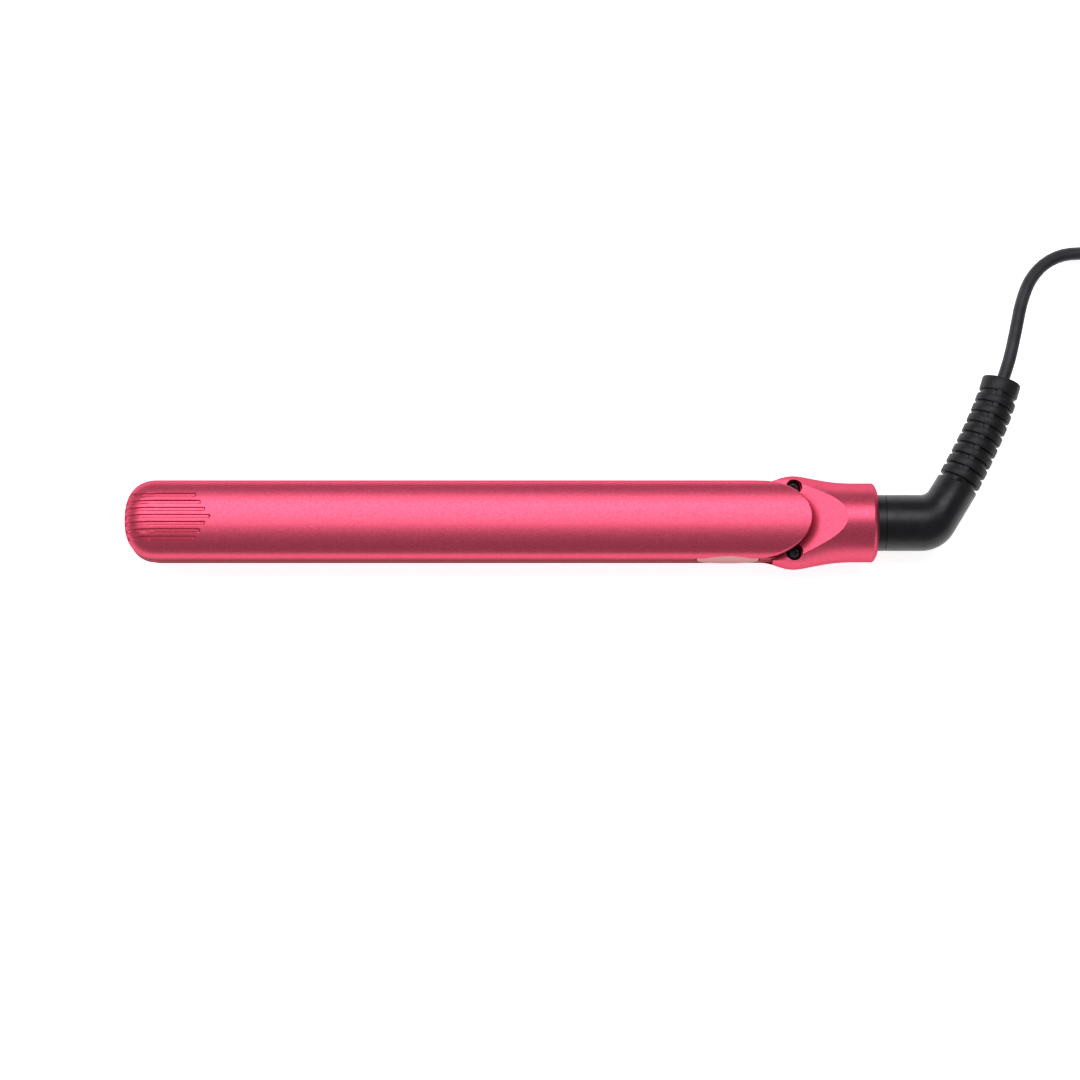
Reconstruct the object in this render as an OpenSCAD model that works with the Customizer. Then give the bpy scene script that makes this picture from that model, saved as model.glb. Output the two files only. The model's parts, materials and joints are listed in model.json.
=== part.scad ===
// Hair straightener, closed. Two long arms, hinged in front of a round tail
// with a swivelling cord outlet. The tip points to -X and the tail to +X.

/* [Arms] */
// Length from the tip to the end of the tail
body_len = 289; // [287:0.5:291]
// Half of the width of an arm
arm_half_w = 15.2; // [15:0.05:15.3]
// Height of the upper arm's domed shell
dome_h = 8; // [7.6:0.1:8.4]
// Wall thickness of the plastic shells
wall = 1.8; // [1.5:0.1:2]
// Gap between the two closed arms
arm_gap = 0.8; // [0.6:0.1:1]

/* [Grip] */
// Number of grip grooves on the tip
groove_count = 7; // [5:2:9]
// Distance between two grooves
groove_pitch = 2.77; // [2.5:0.01:2.9]
// Width of a groove
groove_w = 1.3; // [1:0.05:1.4]
// Depth of a groove
groove_depth = 0.7; // [0.4:0.05:0.9]

/* [Tail] */
// Radius of the round tail
tail_r = 15.25; // [15.25:0.05:15.3]
// Radius of the tail's rear face, inside its chamfer
tail_end_r = 11.45; // [11.4:0.05:11.6]
// Greatest half width of the hinge housing
hinge_half_w = 18.2; // [17.8:0.1:18.4]

/* [Hinge] */
// Distance from the origin to the hinge axis
hinge_x = 112.2; // [112:0.1:112.4]
// Height of the hinge axis
hinge_z = 17; // [16.9:0.05:17.1]
// Radius of the hinge pin
pin_r = 1.5; // [1.4:0.05:1.5]
// Distance of each hinge screw from the middle plane
screw_y = 12.6; // [12.5:0.05:12.7]

/* [Plates] */
// Length of a heating plate
plate_len = 94; // [85:1:96]
// Width of a heating plate
plate_w = 25; // [24:0.1:25.2]
// Gap between the two closed plates
plate_gap = 0.3; // [0.2:0.05:0.4]

/* [Button] */
// Length of the elliptical button
button_len = 23.9; // [22:0.1:24.2]
// Height of the elliptical button
button_h = 13.2; // [12:0.1:13.4]
// Distance from the origin to the button's middle
button_x = 86.8; // [86:0.1:87]

/* [Cord] */
// Diameter of the mains cord
cord_d = 5; // [4.8:0.1:5]
// Radius of the middle of the coil's turns
coil_r = 30; // [29:0.5:30]

/* [Hidden] */
$fn = 64;

pink = [0.86, 0.27, 0.39];
black = [0.09, 0.09, 0.10];
steel = [0.75, 0.76, 0.78];

tip_x = -body_len / 2;
tail_x = body_len / 2;
top_z = 2 * tail_r;
rim_z = top_z - dome_h;
seam_z = 17;
upper_face_z = seam_z + arm_gap / 2;
lower_face_z = seam_z - arm_gap / 2;
lower_rim_z = 12;
belly_h = 14.6;
belly_z = 14.25;
tip_len = 13;
roll_len = 10.5;
tip_power = 2.4;
dome_power = 2.3;
rear_x = 97;
rear_len = 21.7;
big = 60;

// Hinge housing seen from above: distance along X and half width
housing_plan = [[100, arm_half_w], [102.5, arm_half_w + 0.35], [105, arm_half_w + 1.3],
    [107.5, arm_half_w + 2.3], [110, hinge_half_w - 0.15], [112.3, hinge_half_w],
    [115, hinge_half_w - 0.25], [118, hinge_half_w - 0.85], [122, hinge_half_w - 1.6],
    [126, hinge_half_w - 2.3], [130, hinge_half_w - 2.8], [134, tail_r]];
// Height of the hinge bulges above the tail's axis
bulge_h = 11.8;
chamfer_x = 142.6;
neck_x = 138;
clip_x = [136, 137.6];
scoop_x = 132.3;
scoop_slope = 0.384;
ear_floor_z = 16.9;
well_z = 21.4;
ear_r = 8.6;
ear_gap = 0.4;
lug_half_w = 7.6;
lug_screw_x = 106.2;
lug_screw_y = 5;
bracket_half_w = 9.2;
slot_half_w = 9.6;
inner_end_x = 104;
slot_x = 96;

plate_x0 = -134;
plate_x1 = plate_x0 + plate_len;
plate_t = 3;
fit = 0.4;

spring_x = 101;
spring_r = 3.2;
spring_wire_r = 0.45;
spring_z0 = 5;
spring_z1 = 22.5;
spring_turns = 7;

board_z = 9.5;
board_t = 1.6;
button_z = 17.8;
button_travel = 0.8;
switch_y = -12.5;

collar_r = 11.1;
neck_r = 8;
groove_r = 6.5;
flange_r = 7.6;
// Ends of the ribbed sleeve
relief_a = [175.8, 14.9, tail_r];
relief_b = [193.9, 55.9, tail_r];
ring_count = 8;
ring_pitch = 4.62;
ring_t = 3.1;
// The elbow's outline seen from above: radius, turn centres and turn of its two corners
elbow_r = 10.85;
elbow_turn = 61.5;
inside_turn = [161.1, 15.35, 4.5];
outside_turn = [161.55, 3.85, 14.7];

// The cord's route from the sleeve to the coil, and from the coil to the plug
coil_c = [272, 69.5];
coil_w = 5 * cord_d;
coil_z = 0.8;
coil_h = 2 * cord_d;
cord_route = [[192.9, 52.4, 15.2], [197, 64.3, 14.8], [199.9, 76, 13.8], [202.6, 87.5, 12.3],
    [206.4, 97, 10.6], [212.2, 104, 8.8], [220, 108.3, 7], [229.5, 109.5, 5.4],
    [240, 109.5, 4.2], [251, 109.5, 3.5], [262, 109.5, 3.3]];
tail_route = [[312, 69.5, 8.3], [312.1, 62, 8.1], [312.5, 54, 7.4], [313, 45.5, 7]];
plug_x = 313;
plug_y = 46.5;
plug_len = 36;
plug_z = 7;
plug_pin_r = 2;
plug_pin_len = 19;
plug_pin_gap = 18.6;

function power(v, n) = sign(v) * pow(abs(v), 2 / n);
function unit(v) = v / norm(v);
function ellipse_points(cx, a, b) = [for (t = [0:6:354]) [cx + a * cos(t), b * sin(t)]];

// ---- general helpers ----
module box(x, y, z) {
    translate([x[0], y[0], z[0]]) cube([x[1] - x[0], y[1] - y[0], z[1] - z[0]]);
}

module rod_x(r, x, y = 0, z = tail_r) {
    translate([x[0], y, z]) rotate([0, 90, 0]) cylinder(r = r, h = x[1] - x[0]);
}

module rod_y(r, x, y, z) {
    translate([x, y[1], z]) rotate([90, 0, 0]) cylinder(r = r, h = y[1] - y[0]);
}

module rod_z(r, x, y, z) {
    translate([x, y, z[0]]) cylinder(r = r, h = z[1] - z[0]);
}

// Extrudes a (Y, Z) outline along X, or an (X, Z) outline along Y
module along_x(x0, x1) {
    translate([x0, 0, 0]) rotate([90, 0, 90]) linear_extrude(x1 - x0) children();
}

module along_y(y0, y1) {
    translate([0, y1, 0]) rotate([90, 0, 0]) linear_extrude(y1 - y0) children();
}

module both_sides() {
    children();
    mirror([0, 1, 0]) children();
}

// One closed skin over a row of rings that have the same number of points
module skin(rings) {
    n = len(rings[0]);
    m = len(rings);
    polyhedron(
        points = [for (r = rings) each r],
        faces = concat(
            [[for (i = [n - 1:-1:0]) i]],
            [for (k = [0:m - 2], i = [0:n - 1], half = [0, 1]) let (j = (i + 1) % n)
                half == 0 ? [k * n + i, k * n + j, (k + 1) * n + j]
                    : [k * n + i, (k + 1) * n + j, (k + 1) * n + i]],
            [[for (i = [0:n - 1]) (m - 1) * n + i]]));
}

// A round tube along a route; radii holds one radius per point
function tangent(p, i) =
    unit(p[min(i + 1, len(p) - 1)] - p[max(i - 1, 0)]);
function ring(c, t, r, sides) = let (s = unit(cross(t, [0, 0, 1])), u = cross(s, t))
    [for (k = [0:sides - 1]) let (a = 360 * k / sides) c + r * (cos(a) * s + sin(a) * u)];
module tube(route, radii, sides) {
    skin([for (i = [0:len(route) - 1]) ring(route[i], tangent(route, i), radii[i], sides)]);
}

// ---- outlines of the arms ----
function tip_points(inset) = [for (t = [90:7.5:270])
    [tip_x + tip_len + (tip_len - inset) * power(cos(t), tip_power),
        (arm_half_w - inset) * power(sin(t), tip_power)]];
function rear_points(inset) = [for (t = [-90:7.5:90])
    [rear_x + (rear_len - inset) * cos(t), (arm_half_w - inset) * sin(t)]];

module upper_section(inset) {
    polygon(concat(
        [for (t = [0:7.5:180]) [(arm_half_w - inset) * power(cos(t), dome_power),
            rim_z + (dome_h - inset) * power(sin(t), dome_power)]],
        [[-(arm_half_w - inset), 0], [arm_half_w - inset, 0]]));
}

module lower_section(inset) {
    polygon(concat(
        [for (t = [180:7.5:360]) [(arm_half_w - inset) * power(cos(t), dome_power),
            max(inset, belly_z + (belly_h - inset) * power(sin(t), dome_power))]],
        [[arm_half_w - inset, big], [-(arm_half_w - inset), big]]));
}

module upper_side(inset) {
    polygon(concat(
        [for (t = [90:10:180]) [tip_x + roll_len + (roll_len - inset) * power(cos(t), 2.2),
            rim_z + (dome_h - inset) * power(sin(t), 2.2)]],
        [[tip_x + inset, -1], [tail_x, -1], [tail_x, top_z - inset]]));
}

module lower_side(inset) {
    polygon(concat(
        [for (t = [180:10:270]) [tip_x + roll_len + (roll_len - inset) * power(cos(t), 2.2),
            belly_z + (belly_z - inset) * power(sin(t), 2.2)]],
        [[tail_x, inset], [tail_x, big], [tip_x + inset, big]]));
}

module upper_body(inset, z0) {
    intersection() {
        along_x(tip_x - 1, tail_x) upper_section(inset);
        translate([0, 0, z0]) linear_extrude(big)
            polygon(concat(tip_points(inset), rear_points(inset)));
        along_y(-20, 20) upper_side(inset);
    }
}

module lower_body(inset, x1, z1) {
    intersection() {
        along_x(tip_x - 1, x1) lower_section(inset);
        translate([0, 0, -1]) linear_extrude(z1 + 1)
            polygon(concat(tip_points(inset), [[x1, -arm_half_w], [x1, arm_half_w]]));
        along_y(-20, 20) lower_side(inset);
    }
}

module button_hole(gap, y1) {
    along_y(-arm_half_w - 2, y1)
        polygon([for (t = [0:6:354]) [button_x + (button_len / 2 + gap) * cos(t),
            button_z + (button_h / 2 + gap) * sin(t)]]);
}

// ---- outline of the hinge housing ----
module housing(inset, x1) {
    rod_x(tail_r - inset, [inner_end_x - 3, min(x1, chamfer_x)]);
    if (x1 > chamfer_x) translate([chamfer_x, 0, tail_r]) rotate([0, 90, 0])
        cylinder(r1 = tail_r, r2 = tail_end_r, h = tail_x - chamfer_x);
    intersection() {
        along_x(100, 134) polygon([for (t = [0:7.5:352.5])
            [(hinge_half_w - inset) * cos(t),
                tail_r + ((t < 180 ? bulge_h : tail_r) - inset) * sin(t)]]);
        translate([0, 0, -1]) linear_extrude(big) polygon(concat(
            [for (p = housing_plan) [p[0], p[1] - inset]],
            [for (i = [len(housing_plan) - 1:-1:0])
                [housing_plan[i][0], inset - housing_plan[i][1]]]));
    }
}

// Everything above the sloping scoop, lowered by drop
module scoop(drop) {
    low = top_z - drop - (scoop_x - 90) * scoop_slope;
    along_y(-25, 25) polygon([[90, low], [scoop_x, top_z - drop],
        [scoop_x + 5, top_z + 2], [90, big]]);
}

// Room for the upper arm's lug and the bracket, hidden under the arm's rear end
module hinge_well(drop) {
    w = slot_half_w + drop;
    box([100, hinge_x + 4.8 + drop], [-w, w], [tail_r - 1, well_z + drop]);
    intersection() {
        linear_extrude(big)
            polygon(ellipse_points(rear_x, rear_len - 0.8 + drop, arm_half_w - 0.8 + drop));
        box([100, 130], [-w, w], [tail_r - 1, big]);
    }
}

// ---- lower arm ----
module screw_bosses(r, z) {
    intersection() {
        housing(0.2, neck_x);
        both_sides() rod_z(r, hinge_x, screw_y, z);
    }
}

module lower_shell() {
    color(pink) difference() {
        union() {
            difference() {
                lower_body(0, inner_end_x, lower_rim_z);
                lower_body(wall, inner_end_x + 1, big);
            }
            difference() {
                intersection() {
                    housing(0, tail_x);
                    box([inner_end_x - 3, tail_x + 1], [-20, 20], [-1, tail_r]);
                }
                box([100, inner_end_x], [-20, 20], [lower_rim_z, 20]);
                intersection() {
                    housing(wall, neck_x);
                    box([100, neck_x], [-20, 20], [wall, 40]);
                }
            }
            screw_bosses(3.3, [wall / 2, 11]);
            rod_z(1.9, spring_x, 0, [wall / 2, 8]);
            rod_z(4.5, spring_x, 0, [wall / 2, spring_z0]);
            intersection() {
                lower_body(0.3, inner_end_x, board_z);
                for (p = board_screw_points) rod_z(2.6, p[0], p[1], [wall / 2, board_z]);
            }
            for (x = cover_screw_x) rod_z(2.8, x, 0, [wall / 2, 12]);
        }
        both_sides() rod_z(pin_r + 0.03, hinge_x, screw_y, [7.5, 12]);
        for (p = board_screw_points) rod_z(1.03, p[0], p[1], [board_z - 5, 12]);
        for (x = cover_screw_x) rod_z(1.28, x, 0, [6, 13]);
        button_hole(0.35, -11);
        rod_x(neck_r + 0.3, [neck_x - 1, tail_x - 2.9]);
        rod_x(collar_r + 0.35, [tail_x - 3, tail_x + 1]);
    }
}
board_screw_points = [[60, 7], [94, -7]];
cover_screw_x = [-25, 45];

module lower_inner_cover() {
    color(pink) difference() {
        intersection() {
            lower_body(0.15, inner_end_x, lower_face_z);
            box([tip_x, inner_end_x], [-20, 20], [lower_rim_z + 0.1, lower_face_z]);
        }
        lower_body(wall + 0.2, inner_end_x + 1, lower_face_z - 2);
        plate_window();
        box([slot_x, inner_end_x + 1], [-slot_half_w, slot_half_w], [0, 20]);
        button_hole(0.35, -11);
        for (x = cover_screw_x) {
            rod_z(1.4, x, 0, [10, 20]);
            rod_z(2.9, x, 0, [lower_face_z - 1.2, 20]);
        }
    }
}

module plate_window() {
    box([plate_x0 - fit, plate_x1 + fit], [-plate_w / 2 - fit, plate_w / 2 + fit], [0, 40]);
}

module tail_cover() {
    color(pink) difference() {
        intersection() {
            housing(0, tail_x);
            box([inner_end_x + 0.1, tail_x + 1], [-20, 20], [tail_r, 40]);
            union() {
                rod_y(ear_r, hinge_x, [-20, 20], hinge_z);
                box([100, tail_x + 1], [-20, 20], [0, ear_floor_z]);
                box([hinge_x, tail_x + 1], [-20, 20], [0, 40]);
            }
        }
        difference() {
            housing(wall, neck_x);
            scoop(wall);
            hinge_well(wall);
            both_sides() rod_z(3.15 + wall, hinge_x, screw_y, [10, 40]);
        }
        scoop(0);
        hinge_well(0);
        both_sides() rod_z(3.15, hinge_x, screw_y, [18, 40]);
        both_sides() rod_z(pin_r + 0.1, hinge_x, screw_y, [10, 40]);
        rod_x(neck_r + 0.3, [neck_x - 1, tail_x - 2.9]);
        rod_x(collar_r + 0.35, [tail_x - 3, tail_x + 1]);
    }
    color(pink) both_sides() difference() {
        rod_z(3.2, hinge_x, screw_y, [12.3, tail_r]);
        rod_z(pin_r + 0.1, hinge_x, screw_y, [10, 40]);
    }
}

module hinge_screws() {
    color(black) both_sides() difference() {
        union() {
            rod_z(2.8, hinge_x, screw_y, [18, 20]);
            rod_z(pin_r, hinge_x, screw_y, [7.6, 18]);
        }
        for (a = [0, 90]) translate([hinge_x, screw_y, 20]) rotate(a) cube([3, 0.7, 2.2], center = true);
    }
}

module hinge_bracket() {
    color(steel) difference() {
        union() {
            box([hinge_x - 5, hinge_x + 5], [-15.2, 15.2], [11.05, 12.2]);
            both_sides() {
                rod_y(4, hinge_x, [8, bracket_half_w], hinge_z);
                box([hinge_x - 4, hinge_x + 4], [8, bracket_half_w], [12, hinge_z]);
            }
        }
        rod_y(pin_r + 0.02, hinge_x, [-20, 20], hinge_z);
        both_sides() rod_z(pin_r + 0.2, hinge_x, screw_y, [10, 13]);
    }
}

module hinge_pin() {
    color(steel) rod_y(pin_r, hinge_x, [-9.4, 9.4], hinge_z);
}

module hinge_spring() {
    steps = spring_turns * 12;
    rise = (spring_z1 - spring_z0 - 2 * spring_wire_r) / steps;
    coil = [for (i = [0:steps]) [spring_x + spring_r * cos(30 * i), spring_r * sin(30 * i),
        spring_z0 + spring_wire_r + rise * i]];
    color(steel) tube(coil, [for (p = coil) spring_wire_r], 6);
}

// The plates' working faces lie at the seam; side is 1 for the upper one and -1 for the lower one
function stack_z(side, from, to) = let (face = seam_z + side * plate_gap / 2,
    a = face + side * from, b = face + side * to) [min(a, b), max(a, b)];

module plate(side) {
    color([0.16, 0.16, 0.17]) difference() {
        union() {
            box([plate_x0, plate_x1], [-plate_w / 2, plate_w / 2], stack_z(side, 0, plate_t - 1));
            box([plate_x0 + 1, plate_x1 - 1], [-9, 9], stack_z(side, plate_t - 1.1, plate_t));
        }
        both_sides() along_x(plate_x0 - 1, plate_x1 + 1)
            polygon([[plate_w / 2 - 1, stack_z(side, -1, 0)[side > 0 ? 1 : 0]],
                [plate_w / 2 + 1, stack_z(side, -1, 0)[side > 0 ? 1 : 0] + side * 1],
                [plate_w / 2 + 1, stack_z(side, -1, 0)[side > 0 ? 1 : 0] - side * 1]]);
    }
}

module heater(side) {
    color([0.9, 0.88, 0.84]) box([plate_x0 + 12, plate_x1 - 12], [-6, 6],
        stack_z(side, plate_t, plate_t + 1.3));
}

module heater_clip(side) {
    color(steel) difference() {
        box([plate_x0 + 6, plate_x1 - 6], [-8, 8], stack_z(side, plate_t, plate_t + 1.8));
        box([plate_x0 + 6.5, plate_x1 - 6.5], [-7.5, 7.5], stack_z(side, plate_t - 1, plate_t + 1.3));
        for (x = [plate_x0 + 30, plate_x1 - 30])
            box([x - 6, x + 6], [-3, 3], stack_z(side, plate_t, plate_t + 3));
    }
}

module thermal_fuse(side) {
    z = stack_z(side, plate_t + 3.4, plate_t + 3.4)[0];
    color(steel) {
        rod_x(1.5, [-92, -80], 0, z);
        rod_x(0.4, [-98, -74], 0, z);
    }
}

// Soft pads between the heater's clip and the shell
module pads(side) {
    color([0.8, 0.35, 0.2]) for (x = [plate_x0 + 10, plate_x1 - 18])
        box([x, x + 8], [-6, 6], stack_z(side, plate_t + 1.8, side > 0 ? 10.5 : 13.5));
}

module lower_plate() { plate(-1); }
module lower_heater() { heater(-1); }
module lower_heater_clip() { heater_clip(-1); }
module lower_thermal_fuse() { thermal_fuse(-1); }
module lower_plate_pads() { pads(-1); }

module control_board() {
    color([0.1, 0.4, 0.2]) difference() {
        box([56, 95.5], [-10.5, 10.5], [board_z, board_z + board_t]);
        for (p = board_screw_points) rod_z(1.2, p[0], p[1], [board_z - 1, 20]);
    }
    color(black) {
        box([66, 74], [-2, 6], [board_z + board_t, board_z + board_t + 1.6]);
        box([78, 83], [4, 9], [board_z + board_t, board_z + board_t + 2.6]);
    }
}

module board_screws() {
    color(steel) for (p = board_screw_points) {
        rod_z(2, p[0], p[1], [board_z + board_t, board_z + board_t + 1.2]);
        rod_z(1, p[0], p[1], [board_z - 4, board_z + board_t]);
    }
}

module tact_switch() {
    color(black) {
        box([button_x - 3, button_x + 3], [switch_y + 2, -7], [board_z + board_t, 14.2]);
        rod_y(1.2, button_x, [switch_y, switch_y + 2], 12.8);
    }
}

module wire_pair(x, y, z) {
    color([0.85, 0.85, 0.82]) for (s = [-1, 1]) rod_x(0.7, x, y + s * 1.1, z);
}

module supply_wires() {
    wire_pair([97, 133], 7, 9.6);
    color(black) rod_x(2.4, [129, 133], 7, 9.6);
}

module lower_heater_wires() { wire_pair([plate_x1 - 3, 55], 5, 7.5); }

module cover_screws(face, side) {
    color(steel) for (x = cover_screw_x) {
        rod_z(2.6, x, 0, side > 0 ? [face, face + 1.1] : [face - 1.1, face]);
        rod_z(1.25, x, 0, side > 0 ? [face, face + 7] : [face - 7, face]);
    }
}

module lower_cover_screws() { cover_screws(lower_face_z, -1); }

// ---- upper arm ----
module grooves() {
    for (k = [-(groove_count - 1) / 2:(groove_count - 1) / 2]) {
        end_x = -111.7 - 1.85 * abs(k);
        y = groove_pitch * k;
        box([tip_x - 1, end_x], [y - groove_w / 2, y + groove_w / 2], [rim_z + 1, 40]);
        rod_z(groove_w / 2, end_x, y, [rim_z + 1, 40]);
    }
}

module upper_shell() {
    color(pink) difference() {
        upper_body(0, rim_z);
        upper_body(wall, rim_z - 1);
        difference() {
            grooves();
            upper_body(groove_depth, 0);
        }
        button_hole(0.6, -11);
        visor_cut();
    }
    color(pink) for (x = cover_screw_x) difference() {
        rod_z(2.8, x, 0, [rim_z, top_z - wall / 2]);
        rod_z(1.28, x, 0, [rim_z - 1, 25]);
    }
    color(pink) both_sides() difference() {
        rod_z(2.3, lug_screw_x, lug_screw_y, [24.2, 29]);
        rod_z(1.03, lug_screw_x, lug_screw_y, [24, 27.2]);
    }
}

// The rear end is trimmed so that it clears the scoop over the whole travel
module visor_cut() {
    along_y(-20, 20) polygon([[110, rim_z - 1], [110, rim_z], [118.8, 28.2], [125, 28.2],
        [125, rim_z - 1]]);
}

module upper_inner_cover() {
    color(pink) difference() {
        intersection() {
            upper_body(0.15, upper_face_z);
            box([tip_x, hinge_x - 7], [-20, 20], [upper_face_z, rim_z - 0.1]);
        }
        intersection() {
            upper_body(wall + 0.2, upper_face_z + 2);
            box([tip_x, hinge_x], [-20, 20], [0, 40]);
        }
        plate_window();
        box([slot_x, hinge_x], [-slot_half_w, slot_half_w], [0, 40]);
        rod_y(ear_r + ear_gap, hinge_x, [-20, 20], hinge_z);
        button_hole(0.6, -11);
        for (x = cover_screw_x) {
            rod_z(1.4, x, 0, [10, 30]);
            rod_z(2.9, x, 0, [10, upper_face_z + 1.2]);
        }
    }
}

module hinge_lug() {
    color([0.2, 0.2, 0.21]) difference() {
        union() {
            intersection() {
                union() {
                    box([slot_x, hinge_x + 2.5], [-lug_half_w, lug_half_w], [rim_z + 0.1, 24.2]);
                    box([hinge_x - 4, hinge_x + 2.5], [-lug_half_w, lug_half_w], [hinge_z, 23]);
                }
                upper_body(wall + 0.8, 0);
            }
            rod_y(4, hinge_x, [-lug_half_w, lug_half_w], hinge_z);
        }
        rod_y(2.4, hinge_x, [-20, 20], hinge_z);
        both_sides() rod_z(1.15, lug_screw_x, lug_screw_y, [20, 25]);
    }
}

module lug_screws() {
    color(steel) both_sides() {
        rod_z(1.9, lug_screw_x, lug_screw_y, [rim_z - 1, rim_z + 0.1]);
        rod_z(1, lug_screw_x, lug_screw_y, [rim_z, 27]);
    }
}

module hinge_bushes() {
    color([0.78, 0.6, 0.3]) both_sides() difference() {
        rod_y(2.38, hinge_x, [2.6, lug_half_w], hinge_z);
        rod_y(pin_r + 0.05, hinge_x, [0, 20], hinge_z);
    }
}

module upper_plate() { plate(1); }
module upper_heater() { heater(1); }
module upper_heater_clip() { heater_clip(1); }
module upper_thermal_fuse() { thermal_fuse(1); }
module upper_plate_pads() { pads(1); }
module upper_heater_wires() { wire_pair([plate_x1 - 3, slot_x + 6], 5, 26); }
module upper_cover_screws() { cover_screws(upper_face_z, 1); }

// ---- button ----
module power_button() {
    color([0.82, 0.63, 0.58]) {
        intersection() {
            button_hole(0, -13.6);
            along_x(70, 105) polygon([[-15.3, 9], [-15.3, 15], [-15.1, 18], [-14.7, 21],
                [-13.9, 25], [-12, 25], [-12, 9]]);
        }
        rod_y(1.4, button_x, [-13.7, switch_y - button_travel - 0.05], 12.8);
    }
}

// ---- cord outlet ----
// One upright oval ring between an inner and an outer corner, h high to each side
function oval(i, o, h, sides) = [for (k = [0:sides - 1]) let (a = 360 * k / sides)
    [(i[0] + o[0]) / 2 + cos(a) * (o[0] - i[0]) / 2, (i[1] + o[1]) / 2 + cos(a) * (o[1] - i[1]) / 2,
        tail_r + h * sin(a)]];
function on_turn(c, a) = [c[0] + c[2] * sin(a), c[1] - c[2] * cos(a)];

module swivel_elbow() {
    sleeve = unit(relief_b - relief_a);
    side = 8.25 * [sleeve[1], -sleeve[0], 0];
    color(black) {
        difference() {
            union() {
                rod_x(flange_r, [134.2, clip_x[0] - 0.3]);
                rod_x(groove_r, [134.2, neck_x + 0.5]);
                rod_x(neck_r, [neck_x + 0.4, tail_x - 2.6]);
                rod_x(collar_r, [tail_x - 2.7, tail_x + 0.5]);
            }
            rod_x(3, [134, tail_x]);
        }
        skin(concat(
            [for (x = [tail_x, 157]) oval([x, elbow_r], [x, -elbow_r], elbow_r, 32)],
            [for (t = [0:0.125:1]) oval(on_turn(inside_turn, t * elbow_turn),
                on_turn(outside_turn, t * elbow_turn), elbow_r - 1.2 * t, 32)],
            [oval(relief_a - side, relief_a + side, 8.25, 32)]));
    }
}

module swivel_clip() {
    color(steel) difference() {
        rod_x(11, clip_x);
        rod_x(groove_r, [clip_x[0] - 1, clip_x[1] + 1]);
    }
}

module strain_relief() {
    run = norm(relief_b - relief_a);
    yaw = atan2(relief_b[1] - relief_a[1], relief_b[0] - relief_a[0]);
    color(black) translate(relief_a) rotate([0, 90, yaw]) {
        cylinder(r1 = 6.9, r2 = 6.4, h = run);
        for (k = [0:ring_count - 1]) translate([0, 0, 1.9 + k * ring_pitch])
            cylinder(r = 8.25 - 0.065 * k, h = ring_t);
        translate([0, 0, run - 5.6]) cylinder(r = 7.6, h = 5.6);
    }
}

// ---- cord and plug ----
module mains_cord() {
    color(black) tube(cord_route, [for (p = cord_route) cord_d / 2], 10);
}

module cord_coil() {
    color(black) translate([coil_c[0], coil_c[1], coil_z]) rotate_extrude()
        translate([coil_r - coil_w / 2, 0]) square([coil_w, coil_h]);
}

module cord_tail() {
    color(black) tube(tail_route, [for (p = tail_route) cord_d / 2], 10);
}

module cord_tie() {
    t = 0.8;
    inner = coil_r - coil_w / 2 - 0.6;
    outer = coil_r + coil_w / 2 + 0.45;
    color([0.2, 0.2, 0.21]) translate([coil_c[0], coil_c[1], 0]) rotate(225) difference() {
        box([inner - t, outer + t], [-4, 4], [0, coil_z + coil_h + t]);
        box([inner, outer], [-5, 5], [t - 0.05, coil_z + coil_h + 0.05]);
    }
}

module plug_body() {
    color(black) {
        intersection() {
            along_x(plug_x - 13, plug_x + 13) polygon([[plug_y - plug_len, 0.2],
                [plug_y - 12, 0.2], [plug_y - 1, 2.6], [plug_y - 1, 11.4], [plug_y - 12, 13.8],
                [plug_y - plug_len, 13.8]]);
            linear_extrude(20) polygon([[plug_x - 12.8, plug_y - plug_len],
                [plug_x + 12.8, plug_y - plug_len], [plug_x + 12.8, plug_y - 24],
                [plug_x + 9, plug_y - 12], [plug_x + 5, plug_y - 1], [plug_x - 5, plug_y - 1],
                [plug_x - 9, plug_y - 12], [plug_x - 12.8, plug_y - 24]]);
        }
        rod_y(4.4, plug_x, [plug_y - 1.5, plug_y], plug_z);
    }
}

module each_pin() {
    for (s = [-1, 1]) translate([s * plug_pin_gap / 2, 0, 0]) children();
}

module pin_sleeves() {
    color(black) each_pin() difference() {
        rod_y(plug_pin_r, plug_x, [plug_y - plug_len - 10, plug_y - plug_len], plug_z);
        rod_y(plug_pin_r - 0.3, plug_x, [plug_y - plug_len - 11, plug_y], plug_z);
    }
}

module plug_pins() {
    color(steel) each_pin() {
        rod_y(plug_pin_r - 0.32, plug_x, [plug_y - plug_len - 12, plug_y - plug_len], plug_z);
        rod_y(plug_pin_r, plug_x,
            [plug_y - plug_len - plug_pin_len, plug_y - plug_len - 10], plug_z);
    }
}

lower_shell();
lower_inner_cover();
tail_cover();
hinge_screws();
hinge_bracket();
hinge_pin();
hinge_spring();
lower_plate();
lower_heater();
lower_heater_clip();
lower_thermal_fuse();
lower_plate_pads();
control_board();
board_screws();
tact_switch();
supply_wires();
lower_heater_wires();
lower_cover_screws();
upper_shell();
upper_inner_cover();
hinge_lug();
lug_screws();
hinge_bushes();
upper_plate();
upper_heater();
upper_heater_clip();
upper_thermal_fuse();
upper_plate_pads();
upper_heater_wires();
upper_cover_screws();
power_button();
swivel_elbow();
swivel_clip();
strain_relief();
mains_cord();
cord_coil();
cord_tail();
cord_tie();
plug_body();
pin_sleeves();
plug_pins();
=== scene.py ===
"""Looks of the closed hair straightener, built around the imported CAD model.

Shapes are written in millimetres in the CAD frame and scaled to metres when a mesh is made.
"""

import json
import math

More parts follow.
